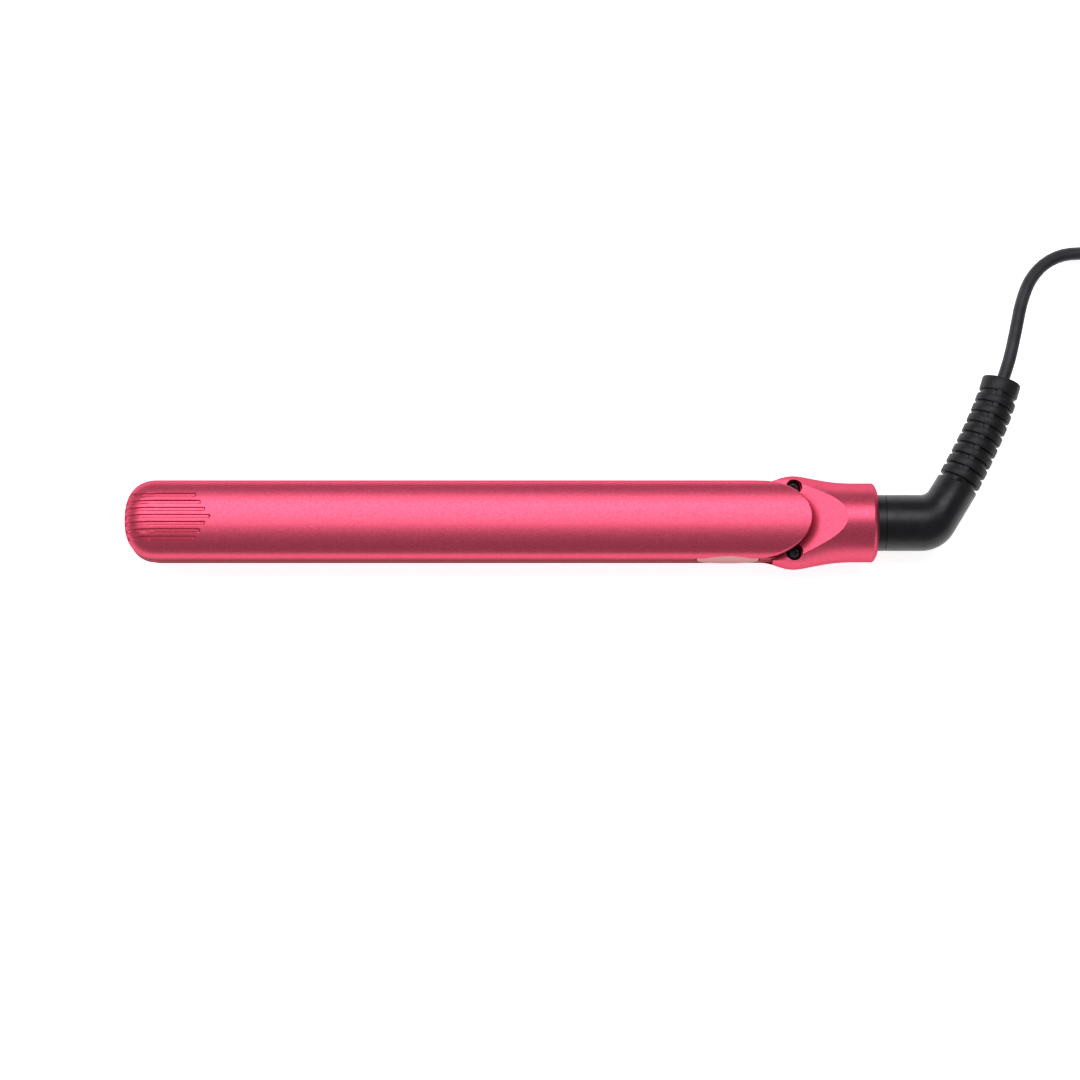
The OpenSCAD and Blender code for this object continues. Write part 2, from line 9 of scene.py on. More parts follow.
import bmesh
import bpy
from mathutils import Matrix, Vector


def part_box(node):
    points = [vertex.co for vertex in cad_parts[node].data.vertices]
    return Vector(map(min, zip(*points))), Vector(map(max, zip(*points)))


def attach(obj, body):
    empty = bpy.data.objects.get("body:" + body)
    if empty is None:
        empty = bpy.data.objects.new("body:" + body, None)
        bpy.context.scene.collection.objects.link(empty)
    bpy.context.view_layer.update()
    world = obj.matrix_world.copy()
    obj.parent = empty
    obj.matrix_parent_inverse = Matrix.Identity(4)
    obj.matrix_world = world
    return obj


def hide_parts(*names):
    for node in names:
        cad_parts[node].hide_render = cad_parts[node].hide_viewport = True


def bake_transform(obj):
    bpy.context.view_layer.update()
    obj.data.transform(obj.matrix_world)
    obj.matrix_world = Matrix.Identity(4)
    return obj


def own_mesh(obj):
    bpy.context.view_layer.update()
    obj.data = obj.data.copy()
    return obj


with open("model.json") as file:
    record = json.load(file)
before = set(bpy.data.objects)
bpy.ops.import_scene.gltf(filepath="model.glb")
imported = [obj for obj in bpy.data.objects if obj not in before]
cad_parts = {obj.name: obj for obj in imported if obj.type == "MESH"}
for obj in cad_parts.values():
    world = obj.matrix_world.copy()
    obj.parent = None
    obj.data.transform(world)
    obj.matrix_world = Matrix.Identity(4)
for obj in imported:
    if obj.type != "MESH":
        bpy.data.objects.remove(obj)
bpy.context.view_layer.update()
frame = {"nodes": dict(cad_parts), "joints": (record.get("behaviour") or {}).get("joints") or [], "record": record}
nodes = frame["nodes"]
MM = 0.001


def box_mm(node):
    low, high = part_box(node)
    return low / MM, high / MM


shell_low, shell_high = box_mm("upper_shell")
base_high = box_mm("lower_shell")[1]
cover_low, cover_high = box_mm("upper_inner_cover")
inner_low, inner_high = box_mm("lower_inner_cover")
hinge = next(j for j in frame["joints"] if j["name"] == "arm_hinge")

TIP_X = shell_low.x
TAIL_X = base_high.x
TOP_Z = shell_high.z
RIM_Z = shell_low.z
HALF_W = shell_high.y
DOME_H = TOP_Z - RIM_Z
AXIS_Z = TOP_Z / 2
TAIL_R = TOP_Z / 2
HINGE_X = hinge["pos_m"][0] / MM
HINGE_Z = hinge["pos_m"][2] / MM
WALL = 1.8

# Outline of the arms
TIP_LEN = 13
TIP_POWER = 2.4
DOME_POWER = 2.3
REAR_X = 97
REAR_LEN = shell_high.x - REAR_X
BELLY_Z = 14.25
BELLY_H = 14.6
LOWER_RIM_Z = 12
INNER_END_X = 104
UPPER_COVER_END_X = HINGE_X - 7
WELL_HALF_W = 9.6
EAR_R = 8.6


# ---------------------------------------------------------------- mesh tools


def make(name, points, faces, sharp=30, clean=True):
    """A smooth-shaded mesh object; points are in millimetres."""
    mesh = bpy.data.meshes.new(name)
    mesh.from_pydata([Vector(p) * MM for p in points], [], faces)
    obj = bpy.data.objects.new(name, mesh)
    bpy.context.scene.collection.objects.link(obj)
    if clean:
        tidy(obj)
    shade(obj, sharp)
    return obj


def tidy(obj):
    """Merges points that coincide and turns every face outwards."""
    bm = bmesh.new()
    bm.from_mesh(obj.data)
    bmesh.ops.remove_doubles(bm, verts=bm.verts, dist=0.002 * MM)
    bmesh.ops.dissolve_degenerate(bm, edges=bm.edges, dist=0.001 * MM)
    bmesh.ops.recalc_face_normals(bm, faces=bm.faces)
    bm.to_mesh(obj.data)
    bm.free()


def shade(obj, sharp=30):
    obj.data.polygons.foreach_set("use_smooth", [True] * len(obj.data.polygons))
    obj.data.set_sharp_from_angle(angle=math.radians(sharp))


def grid_faces(rows, cols, start=0, close_rows=False, close_cols=False, flip=False):
    """Quads over a grid of points that is stored row by row."""
    faces = []
    for i in range(rows if close_rows else rows - 1):
        for j in range(cols if close_cols else cols - 1):
            a = start + i * cols + j
            b = start + i * cols + (j + 1) % cols
            c = start + (i + 1) % rows * cols + (j + 1) % cols
            d = start + (i + 1) % rows * cols + j
            faces.append((a, d, c, b) if flip else (a, b, c, d))
    return faces


def shell_between(name, outer, inner, open_ends=(), sharp=30):
    """A closed solid between two grids of the same size; open_ends are rows that need joining."""
    rows, cols = len(outer), len(outer[0])
    points = [p for row in outer for p in row] + [p for row in inner for p in row]
    start = rows * cols
    faces = grid_faces(rows, cols) + grid_faces(rows, cols, start, flip=True)
    for i in range(rows - 1):
        for j in (0, cols - 1):
            a, b = i * cols + j, (i + 1) * cols + j
            faces.append((a, b, start + b, start + a))
    for i in open_ends:
        for j in range(cols - 1):
            a = i % rows * cols + j
            faces.append((a, a + 1, start + a + 1, start + a))
    return make(name, points, faces, sharp)


def lofted(name, rings, sharp=30):
    """A closed solid over rings of the same number of points, with flat ends."""
    cols = len(rings[0])
    points = [p for ring in rings for p in ring]
    faces = grid_faces(len(rings), cols, close_cols=True)
    faces.append(tuple(range(cols)))
    faces.append(tuple(range(len(points) - cols, len(points))))
    return make(name, points, faces, sharp)


def prism(name, outline, low, high, axis="z", sharp=30):
    """An outline pushed along one axis: (x, y) along z, or (x, z) along y."""
    place = {"z": lambda p, t: (p[0], p[1], t), "y": lambda p, t: (p[0], t, p[1])}[axis]
    return lofted(name, [[place(p, t) for p in outline] for t in (low, high)], sharp)


def block(name, x, y, z):
    """A box between pairs of bounds."""
    return prism(name, [(x[0], y[0]), (x[1], y[0]), (x[1], y[1]), (x[0], y[1])], *z)


def rod_y(name, x, z, r, low, high, count=64):
    return prism(name, circle(x, z, r, count), low, high, "y")


def cut(obj, *cutters, keep="DIFFERENCE", sharp=30):
    """Subtracts each cutter from obj, or keeps what they share, and removes the cutters."""
    for cutter in cutters:
        step = obj.modifiers.new("cut", "BOOLEAN")
        step.operation = keep
        step.solver = "EXACT"
        step.object = cutter
        bpy.context.view_layer.update()
        result = obj.evaluated_get(bpy.context.evaluated_depsgraph_get())
        mesh = bpy.data.meshes.new_from_object(result)
        obj.modifiers.clear()
        obj.data = mesh
        bpy.data.objects.remove(cutter)
    shade(obj, sharp)
    return obj


def joined(name, objs):
    """One object from several."""
    bm = bmesh.new()
    for obj in objs:
        bm.from_mesh(obj.data)
        bpy.data.objects.remove(obj)
    mesh = bpy.data.meshes.new(name)
    bm.to_mesh(mesh)
    bm.free()
    out = bpy.data.objects.new(name, mesh)
    bpy.context.scene.collection.objects.link(out)
    shade(out)
    return out


def circle(cx, cy, r, count=48):
    turn = 2 * math.pi / count
    return [(cx + r * math.cos(turn * k), cy + r * math.sin(turn * k)) for k in range(count)]


def between(low, high, count):
    return [low + (high - low) * i / (count - 1) for i in range(count)]


def ease(t):
    t = min(max(t, 0.0), 1.0)
    return t * t * (3 - 2 * t)


def catmull(points, steps):
    """A smooth curve through every point, with steps pieces between two of them."""
    pts = [Vector(p) for p in points]
    out = []
    for i in range(len(pts) - 1):
        p0 = pts[max(i - 1, 0)]
        p1, p2 = pts[i], pts[i + 1]
        p3 = pts[min(i + 2, len(pts) - 1)]
        for k in range(steps):
            t = k / steps
            out.append(
                0.5 * (2 * p1 + (p2 - p0) * t + (2 * p0 - 5 * p1 + 4 * p2 - p3) * t * t
                       + (3 * p1 - p0 - 3 * p2 + p3) * t ** 3)
            )
    out.append(pts[-1])
    return out


def sweep(name, path, radius, sides=48, sharp=30):
    """A solid along a path that never runs straight up; radius(i, angle) is its outline."""
    rings = []
    for i, p in enumerate(path):
        ahead, behind = path[min(i + 2, len(path) - 1)], path[max(i - 2, 0)]
        along = (ahead - behind).normalized()
        side = along.cross(Vector((0, 0, 1))).normalized()
        up = side.cross(along)
        angles = [2 * math.pi * k / sides for k in range(sides)]
        rings.append([p + radius(i, a) * (math.cos(a) * side + math.sin(a) * up) for a in angles])
    return lofted(name, rings, sharp)


# ---------------------------------------------------------------- camera and stage

CAMERA_TILT = math.radians(10)
CAMERA_DISTANCE = 1.4
LOOK_AT = Vector((0.01475, -0.0067, AXIS_Z * MM))
SEEN_WIDTH = 0.4158


def add_camera():
    data = bpy.data.cameras.new("camera")
    data.sensor_width = 36
    data.lens = data.sensor_width * CAMERA_DISTANCE / SEEN_WIDTH
    data.clip_end = 20
    camera = bpy.data.objects.new("camera", data)
    bpy.context.scene.collection.objects.link(camera)
    back = Vector((0, -math.sin(CAMERA_TILT), math.cos(CAMERA_TILT)))
    camera.location = LOOK_AT + CAMERA_DISTANCE * back
    camera.rotation_euler = (CAMERA_TILT, 0, 0)
    bpy.context.scene.camera = camera


def add_light(name, spot, aim, size, power, colour=(1, 1, 1)):
    data = bpy.data.lights.new(name, "AREA")
    data.shape = "RECTANGLE"
    data.size, data.size_y = size
    data.energy = power
    data.color = colour
    light = bpy.data.objects.new(name, data)
    bpy.context.scene.collection.objects.link(light)
    light.location = spot
    light.rotation_euler = (Vector(aim) - Vector(spot)).to_track_quat("-Z", "Y").to_euler()


def add_stage():
    floor = make("floor", [(-6000, -6000, -0.15), (6000, -6000, -0.15), (6000, 6000, -0.15),
                           (-6000, 6000, -0.15)], [(0, 1, 2, 3)], clean=False)
    white = plain("floor_white", (0.9, 0.9, 0.9), 0.7)
    shader = white.node_tree.nodes["Principled BSDF"]
    shader.inputs["Emission Color"].default_value = (1, 1, 1, 1)
    shader.inputs["Emission Strength"].default_value = 0.8
    floor.data.materials.append(white)
    world = bpy.data.worlds.new("studio")
    world.use_nodes = True
    background = world.node_tree.nodes["Background"]
    background.inputs["Color"].default_value = (1, 1, 1, 1)
    background.inputs["Strength"].default_value = 0.26
    bpy.context.scene.world = world
    bpy.context.scene.view_settings.view_transform = "Standard"
    add_light("key", (-0.3, 0.40, 1.10), (-0.3, 0.0, 0.0), (1.9, 0.62), 13, (1.0, 0.96, 1.05))


# ---------------------------------------------------------------- materials


def plain(name, colour, rough, metallic=0.0):
    """A new material and its shader, with the values that are the same all over."""
    mat = bpy.data.materials.new(name)
    mat.use_nodes = True
    shader = mat.node_tree.nodes["Principled BSDF"]
    shader.inputs["Base Color"].default_value = (*colour, 1)
    shader.inputs["Roughness"].default_value = rough
    shader.inputs["Metallic"].default_value = metallic
    return mat


def noise(mat, scale, detail=2.0):
    """A noise texture in object space; scale is in cells per metre."""
    tree = mat.node_tree
    place = tree.nodes.new("ShaderNodeTexCoord")
    texture = tree.nodes.new("ShaderNodeTexNoise")
    texture.inputs["Scale"].default_value = scale
    texture.inputs["Detail"].default_value = detail
    tree.links.new(place.outputs["Object"], texture.inputs["Vector"])
    return texture.outputs["Fac"]


def spread(mat, value, low, high):
    """Maps the middle of a noise to the range from low to high."""
    node = mat.node_tree.nodes.new("ShaderNodeMapRange")
    node.inputs["From Min"].default_value = 0.3
    node.inputs["From Max"].default_value = 0.7
    node.inputs["To Min"].default_value = low
    node.inputs["To Max"].default_value = high
    mat.node_tree.links.new(value, node.inputs["Value"])
    return node.outputs["Result"]


def two_tone(mat, value, dark, light):
    """Colours the surface between two tones."""
    ramp = mat.node_tree.nodes.new("ShaderNodeValToRGB")
    ramp.color_ramp.elements[0].position = 0.32
    ramp.color_ramp.elements[1].position = 0.68
    ramp.color_ramp.elements[0].color = (*dark, 1)
    ramp.color_ramp.elements[1].color = (*light, 1)
    mat.node_tree.links.new(value, ramp.inputs["Fac"])
    shader = mat.node_tree.nodes["Principled BSDF"]
    mat.node_tree.links.new(ramp.outputs["Color"], shader.inputs["Base Color"])


def rough_between(mat, value, low, high):
    shader = mat.node_tree.nodes["Principled BSDF"]
    mat.node_tree.links.new(spread(mat, value, low, high), shader.inputs["Roughness"])


def bumped(mat, value, strength, distance_mm):
    node = mat.node_tree.nodes.new("ShaderNodeBump")
    node.inputs["Strength"].default_value = strength
    node.inputs["Distance"].default_value = distance_mm * MM
    mat.node_tree.links.new(value, node.inputs["Height"])
    shader = mat.node_tree.nodes["Principled BSDF"]
    mat.node_tree.links.new(node.outputs["Normal"], shader.inputs["Normal"])


def pearl_paint(name, dark, light):
    """Satin metallic paint with fine flakes under a thin clear coat."""
    mat = plain(name, light, 0.4, 0.82)
    flakes = noise(mat, 2600, 3)
    two_tone(mat, flakes, dark, light)
    rough_between(mat, noise(mat, 900, 2), 0.36, 0.44)
    bumped(mat, flakes, 0.10, 0.03)
    shader = mat.node_tree.nodes["Principled BSDF"]
    shader.inputs["Specular Tint"].default_value = (0.50, 0.22, 0.27, 1)
    shader.inputs["Coat Weight"].default_value = 0.12
    shader.inputs["Coat Roughness"].default_value = 0.4
    return mat


def moulded(name, dark, light, low, high, grain=1500, height=0.02):
    """Moulded plastic or rubber with a fine grain."""
    mat = plain(name, light, high)
    two_tone(mat, noise(mat, 160, 3), dark, light)
    grains = noise(mat, grain, 2)
    rough_between(mat, noise(mat, 300, 3), low, high)
    bumped(mat, grains, 0.35, height)
    mat.node_tree.nodes["Principled BSDF"].inputs["Specular IOR Level"].default_value = 0.32
    return mat


def metal(name, dark, light, low, high, grain=700):
    """Bare metal with faint mottling and scuffs."""
    mat = plain(name, light, high, 1.0)
    two_tone(mat, noise(mat, 220, 4), dark, light)
    rough_between(mat, noise(mat, grain, 4), low, high)
    return mat


MATERIALS = {
    "pink_shell": pearl_paint("pink_pearl", (0.62, 0.062, 0.112), (0.78, 0.112, 0.195)),
    # pink_inner is a darker copy of the pink paint: painted shade for the inner covers' side band under the
    # shell's rim.
    "pink_inner": pearl_paint("pink_inner", (0.30, 0.024, 0.044), (0.40, 0.040, 0.070)),
    "black_screw": metal("black_oxide", (0.012, 0.012, 0.013), (0.03, 0.03, 0.033), 0.28, 0.42),
    "steel": metal("bare_steel", (0.42, 0.43, 0.45), (0.62, 0.63, 0.65), 0.25, 0.42),
    "plate": metal("plate_coating", (0.05, 0.05, 0.055), (0.10, 0.10, 0.11), 0.14, 0.24),
    "ceramic": moulded("ceramic", (0.74, 0.72, 0.66), (0.86, 0.84, 0.79), 0.55, 0.7),
    "silicone": moulded("silicone", (0.42, 0.10, 0.05), (0.55, 0.15, 0.07), 0.6, 0.75),
    "board": moulded("solder_mask", (0.02, 0.12, 0.05), (0.035, 0.19, 0.075), 0.3, 0.45),
    "black_plastic": moulded("black_plastic", (0.004, 0.004, 0.0048), (0.009, 0.009, 0.0105),
                             0.3, 0.42),
    "black_rubber": moulded("black_rubber", (0.004, 0.004, 0.0045), (0.009, 0.009, 0.010),
                            0.42, 0.55),
    "wire": moulded("wire_sleeve", (0.62, 0.61, 0.58), (0.75, 0.74, 0.7), 0.45, 0.6),
    "brass": metal("bright_brass", (0.62, 0.50, 0.30), (0.78, 0.66, 0.42), 0.2, 0.35),
    "button": pearl_paint("rose_button", (0.50, 0.30, 0.27), (0.66, 0.44, 0.39)),
    "cord": moulded("cord_sheath", (0.022, 0.022, 0.024), (0.036, 0.036, 0.039), 0.42, 0.55, 900),
}


def dress(obj, slot, body, *replaced):
    """Gives a piece its material, body and slot, and hides the CAD nodes it stands for."""
    obj.data.materials.clear()
    obj.data.materials.append(MATERIALS[slot])
    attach(obj, body)
    if replaced:
        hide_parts(*replaced)
    return obj


def dress_cad_nodes():
    for row in frame["record"]["subparts"]:
        obj = nodes[row["node"]]
        obj.data.materials.clear()
        obj.data.materials.append(MATERIALS[row["material_slot"]])


# ---------------------------------------------------------------- cord

CORD_D = 5
CORD_ROUTE = [(192.9, 52.4, 15.2), (197, 64.3, 14.8), (199.9, 76, 13.8), (202.6, 87.5, 12.3),
              (206.4, 97, 10.6), (212.2, 104, 8.8), (220, 108.3, 7), (229.5, 109.5, 5.4),
              (240, 109.5, 4.2), (251, 109.5, 3.5), (262, 109.5, 3.3)]
TAIL_ROUTE = [(312.1, 62, 8.1), (312.5, 54, 7.4), (313, 45.5, 7)]
COIL_CENTRE = (272, 69.5)
COIL_COLUMNS = 5
COIL_OUTER = 40
COIL_LOW_Z = 3.3
COIL_TURNS = 9.25
TURN_STEPS = 36


def coil_point(turn):
    """The cord winds in along the lower layer, climbs, and winds out along the upper one."""
    whole, part = int(turn), turn % 1.0
    inner = COIL_OUTER - CORD_D * (COIL_COLUMNS - 1)
    last_low = COIL_COLUMNS - 1
    if whole < last_low:
        r = COIL_OUTER - CORD_D * (whole + ease((part - 0.85) / 0.15))
        z = COIL_LOW_Z
    else:
        r = inner
        z = COIL_LOW_Z + CORD_D * ease((turn - last_low - 0.6) / 0.25)
        out = turn - COIL_COLUMNS - 0.45
        if out > 0:
            r += CORD_D * (int(out) + ease((out % 1.0) / 0.15))
    angle = math.pi / 2 - 2 * math.pi * turn
    return (COIL_CENTRE[0] + r * math.cos(angle), COIL_CENTRE[1] + r * math.sin(angle), z)


def add_cord():
    """The cord as one curve, and its length in metres."""
    count = round(COIL_TURNS * TURN_STEPS)
    coil = [coil_point(i * COIL_TURNS / count) for i in range(count + 1)]
    lead_in = catmull(CORD_ROUTE + [coil[0]], 3)
    lead_out = catmull([coil[-1]] + TAIL_ROUTE, 3)
    path = [Vector(p) * MM for p in lead_in + [Vector(p) for p in coil[1:]] + lead_out[1:]]
    data = bpy.data.curves.new("flex", "CURVE")
    data.dimensions = "3D"
    data.bevel_depth = CORD_D / 2 * MM
    data.bevel_resolution = 5
    data.use_fill_caps = True
    spline = data.splines.new("POLY")
    spline.points.add(len(path) - 1)
    for point, place in zip(spline.points, path):
        point.co = (*place, 1)
    spline.use_smooth = True
    flex = bpy.data.objects.new("flex", data)
    bpy.context.scene.collection.objects.link(flex)
    length = sum((b - a).length for a, b in zip(path, path[1:]))
    return flex, length


# ---------------------------------------------------------------- arms


def side_columns():
    """Places across the dome from -1 to 1, closest together where the grooves run."""
    middle = [v / HALF_W for v in between(-10.4, 10.4, 131)]
    edge = math.acos(middle[-1] ** (DOME_POWER / 2))
    outer = [math.cos(edge * (1 - t)) ** (2 / DOME_POWER) for t in between(0, 1, 18)][1:]
    return [-v for v in reversed(outer)] + middle + outer


VISOR_X = 110
VISOR_RISE = 5.7 / 8.8
GROOVES = 7
GROOVE_PITCH = 2.77
GROOVE_HALF_W = 0.78
GROOVE_DEPTH = 0.66
GROOVE_END_X = -111.05
GROOVE_END_STEP = 1.85


def groove_depth(x, y):
    """Depth of the grip grooves, the middle one of which reaches furthest."""
    depth = 0.0
    for k in range(GROOVES):
        off = k - (GROOVES - 1) / 2
        beyond = max(x - (GROOVE_END_X - GROOVE_END_STEP * abs(off) - GROOVE_HALF_W), 0)
        away = math.hypot(beyond, y - GROOVE_PITCH * off) / GROOVE_HALF_W
        depth = max(depth, GROOVE_DEPTH * ease((1.0 - away) / 0.42))
    return depth


def arm_point(x, y, inset, grooved):
    """A point of the upper arm's dome over (x, y)."""
    half_w, height, tip = HALF_W - inset, DOME_H - inset, TIP_LEN - inset
    u = max((TIP_X + TIP_LEN - x) / tip, 0.0)
    v = abs(y) / half_w
    rho = min((u ** TIP_POWER + v ** TIP_POWER) ** (1 / TIP_POWER), 1.0)
    rise = (1 - rho ** DOME_POWER) ** (1 / DOME_POWER)
    point = Vector((x, y, RIM_Z + height * rise))
    depth = groove_depth(x, y) if grooved and x < GROOVE_END_X + 1 else 0.0
    depth *= ease((height * rise - 1.0) / 0.8)
    if depth > 0:
        steep = max(rho, 0.001) ** (DOME_POWER - TIP_POWER)
        normal = Vector((
            -steep * u ** (TIP_POWER - 1) / tip,
            math.copysign(steep * v ** (TIP_POWER - 1) / half_w, y),
            rise ** (DOME_POWER - 1) / height,
        ))
        point -= depth * normal.normalized()
    return point


def arm_rows(inset, grooved):
    """Rows of points across the upper arm, from the tip to the rounded rear end."""
    columns = side_columns()
    half_w, tip = HALF_W - inset, TIP_LEN - inset
    rows = []
    for w in between(0, 0.97, 44):
        u = (1 - w ** TIP_POWER) ** (1 / TIP_POWER)
        rows.append((TIP_X + TIP_LEN - tip * u, half_w * w))
    start = rows[-1][0]
    straight = between(start, GROOVE_END_X + 2, 62)[1:]
    straight += between(GROOVE_END_X + 2, REAR_X, 42)[1:]
    for x in straight:
        u = max((TIP_X + TIP_LEN - x) / tip, 0)
        rows.append((x, half_w * (1 - u ** TIP_POWER) ** (1 / TIP_POWER)))
    grid = []
    for x, reach in rows:
        line = [arm_point(x, v * reach, inset, grooved) for v in columns]
        grid.append([line[0]] * 3 + line + [line[-1]] * 3)
    return grid + rear_rows(inset, columns)


def visor_z(x):
    """Lower edge of the shell, which rises under the rear end to clear the scoop."""
    return RIM_Z + max(x - VISOR_X, 0) * VISOR_RISE


def rear_rows(inset, columns):
    """The rear end is cut upright along half an ellipse, with a small round along its edge."""
    half_w, length = HALF_W - inset, REAR_LEN - inset
    grid = []
    for step in range(1, 37):
        turn = math.radians(2.5 * step)
        top = arm_point(REAR_X, half_w * math.cos(turn), inset, False).z
        r = 0.4 * ease((top - RIM_Z) / 1.5)

        def edge(gap, z, side):
            return Vector((REAR_X + (length - gap) * math.sin(turn),
                           side * (half_w - gap) * math.cos(turn), z))

        def border(side):
            low = visor_z(edge(0, 0, side).x)
            return [edge(0, low, side), edge(0, top - r, side), edge(0.3 * r, top - 0.3 * r, side)]

        line = []
        for v in columns:
            spot = edge(r, 0, v)
            line.append(Vector((spot.x, spot.y, arm_point(REAR_X, spot.y, inset, False).z)))
        grid.append(border(-1) + line + border(1)[::-1])
    return grid


def tip_outline(inset, end_x, count=49):
    """Plan of an arm from above: the rounded tip and straight sides up to end_x."""
    half_w, tip = HALF_W - inset, TIP_LEN - inset
    points = []
    for t in between(math.pi / 2, 3 * math.pi / 2, count):
        c, s = math.cos(t), math.sin(t)
        points.append((
            TIP_X + TIP_LEN - tip * abs(c) ** (2 / TIP_POWER),
            math.copysign(half_w * abs(s) ** (2 / TIP_POWER), s),
        ))
    return points + [(end_x, -half_w), (end_x, half_w)]


def window(gap=0.4):
    """The opening in an arm's inner face for its plate."""
    low, high = box_mm("upper_plate")
    w = high.y + gap
    return block("window", (low.x - gap, high.x + gap), (-w, w), (0, 40))


def button_cutter(gap):
    """The opening for the button, with a gap all round."""
    low, high = box_mm("power_button")
    a, b = (high.x - low.x) / 2 + gap, (high.z - low.z) / 2 + gap
    cx, cz = (high.x + low.x) / 2, (high.z + low.z) / 2
    outline = [(cx + a * math.cos(t), cz + b * math.sin(t))
               for t in between(0, 2 * math.pi, 97)[:-1]]
    return prism("button_cutter", outline, -HALF_W - 3, -11, "y")


def tray(name, low_z, high_z, floor_low, floor_high, end_x):
    """An arm's inner face: a floor with a rim around it."""
    body = prism(name, tip_outline(0.3, end_x), low_z, high_z)
    inside_low = floor_high if floor_high < high_z else low_z - 5
    inside_high = high_z + 5 if floor_high < high_z else floor_low
    hollow = prism("hollow", tip_outline(WALL + 0.3, end_x + 5), inside_low, inside_high)
    x0 = box_mm("hinge_spring")[0].x - 1.4
    slot = block("slot", (x0, end_x + 9), (-WELL_HALF_W, WELL_HALF_W), (0, 40))
    return cut(body, hollow, slot, window())


def add_arms():
    upper = shell_between("upper_shell_skin", arm_rows(0, True), arm_rows(WALL, False))
    cut(upper, button_cutter(0.55))
    dress(upper, "pink_shell", "upper_arm", "upper_shell")

    # Both covers take pink_inner, the darker copy of the pink paint that paints shade onto the side band.
    cover = tray("upper_cover", cover_low.z, cover_high.z, cover_low.z, cover_low.z + 2,
                 UPPER_COVER_END_X)
    cut(cover, rod_y("ear", HINGE_X, HINGE_Z, EAR_R + 0.4, -20, 20), button_cutter(0.55))
    dress(cover, "pink_inner", "upper_arm", "upper_inner_cover")

    cover = tray("lower_cover", inner_low.z, inner_high.z, inner_high.z - 2, inner_high.z,
                 INNER_END_X)
    cut(cover, button_cutter(0.35))
    dress(cover, "pink_inner", "lower_arm", "lower_inner_cover")


# ---------------------------------------------------------------- lower shell and tail

HINGE_BULGE = [(94, 0), (97, 0.02), (100, 0.12), (102.5, 0.5), (105, 1.3), (107.5, 2.2),
               (110, 2.8), (112.3, 3.0), (115, 2.75), (118, 2.15), (122, 1.35), (126, 0.65),
               (130, 0.2), (134, 0.0)]
CHAMFER_X = TAIL_X - 2
MOUTH_R = 11.45
NECK_R = 8.3
NECK_X = TAIL_X - 6.5
MOUTH_X = TAIL_X - 3


def housing_half_w(x):
    """Half width of the lower body and the hinge housing at x."""
    if x <= HINGE_BULGE[0][0]:
        return HALF_W
    if x >= HINGE_BULGE[-1][0]:
        return TAIL_R
    k = max(i for i, (px, _) in enumerate(HINGE_BULGE) if px <= x)
    (x0, w0), (x1, w1) = HINGE_BULGE[k], HINGE_BULGE[k + 1]
    before = HINGE_BULGE[max(k - 1, 0)]
    after = HINGE_BULGE[min(k + 2, len(HINGE_BULGE) - 1)]
    slope0 = (w1 - before[1]) / (x1 - before[0])
    slope1 = (after[1] - w0) / (after[0] - x0)
    t, step = (x - x0) / (x1 - x0), x1 - x0
    bulge = ((2 * t ** 3 - 3 * t ** 2 + 1) * w0 + (t ** 3 - 2 * t ** 2 + t) * step * slope0
             + (3 * t ** 2 - 2 * t ** 3) * w1 + (t ** 3 - t ** 2) * step * slope1)
    return HALF_W + bulge + (TAIL_R - HALF_W) * ease((x - 112) / 20)


def chamfer_r(x):
    """Radius of the tail's rear edge, which is chamfered and slightly rounded."""
    t = min((x - CHAMFER_X) / (TAIL_X - CHAMFER_X), 1.0)
    return MOUTH_R + (TAIL_R - MOUTH_R) * (1 - t ** 1.4) ** (1 / 1.4)


def lower_row(x, inset, rim_z, columns=61):
    """The lower half of the body's outline at x, from one rim to the other."""
    blend = ease((x - 90) / 18)
    centre = BELLY_Z + (AXIS_Z - BELLY_Z) * blend
    depth = BELLY_H + (TAIL_R - BELLY_H) * blend - inset
    power = DOME_POWER + (2 - DOME_POWER) * blend
    half_w, tip = housing_half_w(x) - inset, TIP_LEN - inset
    u = min(max((TIP_X + TIP_LEN - x) / tip, 0.0), 1.0)
    if x > CHAMFER_X:
        half_w = depth = chamfer_r(x)
    depth = max(depth * max(1 - u ** power, 0) ** (1 / power), 0.001)
    half_w *= max(1 - u ** TIP_POWER, 0) ** (1 / TIP_POWER)
    start = math.asin(min(max((centre - rim_z) / depth, 0.0), 1.0) ** (power / 2))
    row = []
    for t in between(math.pi - start, start, columns):
        reach = abs(math.cos(t)) ** (2 / power)
        drop = math.sin(t) ** (2 / power)
        y = -math.copysign(half_w * reach, math.cos(t))
        z = centre - depth * drop
        row.append(Vector((x, y, min(max(z, inset if x < 110 else 0), rim_z))))
    return row


def round_row(x, r, columns=61):
    """The lower half of a round outline at x."""
    return [Vector((x, r * -math.cos(t), AXIS_Z - r * math.sin(t)))
            for t in between(math.pi, 0, columns)]


